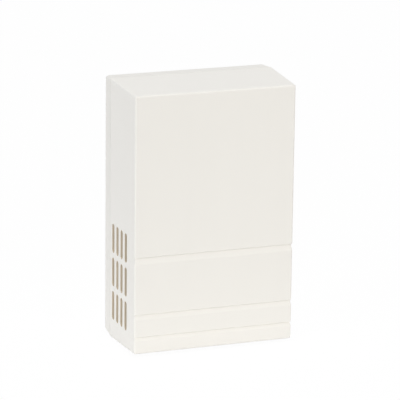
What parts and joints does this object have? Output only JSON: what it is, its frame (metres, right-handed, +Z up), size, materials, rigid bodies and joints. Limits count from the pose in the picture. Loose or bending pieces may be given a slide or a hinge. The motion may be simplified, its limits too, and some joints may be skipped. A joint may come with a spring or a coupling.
{
  "type": "doorbell chime box",
  "caption": "Wall-hung striker chime: drafted moulded cover with front grooves and side sound slots over a base tray that carries tone bars, coils and sprung strikers.",
  "frame": {"origin": "middle of the back face, on the wall", "axes": "+Z up, +Y into the wall, so the front faces -Y; +X to the right as seen from the front"},
  "size_m": [0.1084, 0.058, 0.17],
  "materials": {
    "cover_plastic": "fine satin moulding",
    "tray_plastic": "fine satin moulding",
    "bar_steel": "rolled and nickel plated",
    "black_rubber": "matte",
    "pin_steel": "zinc plated",
    "spool_nylon": "natural nylon",
    "coil_copper": "enamelled copper wire",
    "yoke_steel": "zinc plated",
    "core_steel": "ground",
    "striker_nylon": "natural nylon",
    "spring_steel": "drawn wire",
    "screw_steel": "yellow zinc plated",
    "block_plastic": "moulded",
    "terminal_brass": "stamped",
    "screw_brass": "turned",
    "red_lead": "soft insulation",
    "blue_lead": "soft insulation"
  },
  "bodies": {
    "chassis": {"base_tray": "tray_plastic", "low_tone_bar": "bar_steel", "high_tone_bar": "bar_steel", "low_bar_grommets": "black_rubber", "high_bar_grommets": "black_rubber", "bar_pins": "pin_steel", "front_bobbin": "spool_nylon", "front_winding": "coil_copper", "front_yoke": "yoke_steel", "front_spring": "spring_steel", "rear_bobbin": "spool_nylon", "rear_winding": "coil_copper", "rear_yoke": "yoke_steel", "rear_spring": "spring_steel", "rear_stop_washer": "black_rubber", "yoke_screws": "screw_steel", "terminal_block": "block_plastic", "terminal_plates": "terminal_brass", "terminal_washers": "terminal_brass", "terminal_screws": "screw_brass", "block_screws": "screw_steel", "front_coil_leads": "red_lead", "rear_coil_leads": "blue_lead"},
    "cover_shell": {"cover": "cover_plastic"},
    "front_ram": {"front_plunger": "core_steel", "front_left_striker": "striker_nylon", "front_right_striker": "striker_nylon"},
    "rear_ram": {"rear_plunger": "core_steel", "rear_spring_cap": "striker_nylon", "rear_striker": "striker_nylon"}
  },
  "joints": [
    {"name": "cover_pull", "type": "slide", "parent": "chassis", "child": "cover_shell", "axis": [0, -1, 0], "range_m": [0, 0.06]},
    {"name": "front_strike", "type": "slide", "parent": "chassis", "child": "front_ram", "axis": [1, 0, 0], "range_m": [-0.0028, 0.0078], "stiffness_N_per_m": 60, "deforming": ["front_spring"]},
    {"name": "rear_strike", "type": "slide", "parent": "chassis", "child": "rear_ram", "axis": [1, 0, 0], "range_m": [0, 0.0078], "stiffness_N_per_m": 60, "springref_m": -0.002, "deforming": ["rear_spring"]}
  ]
}
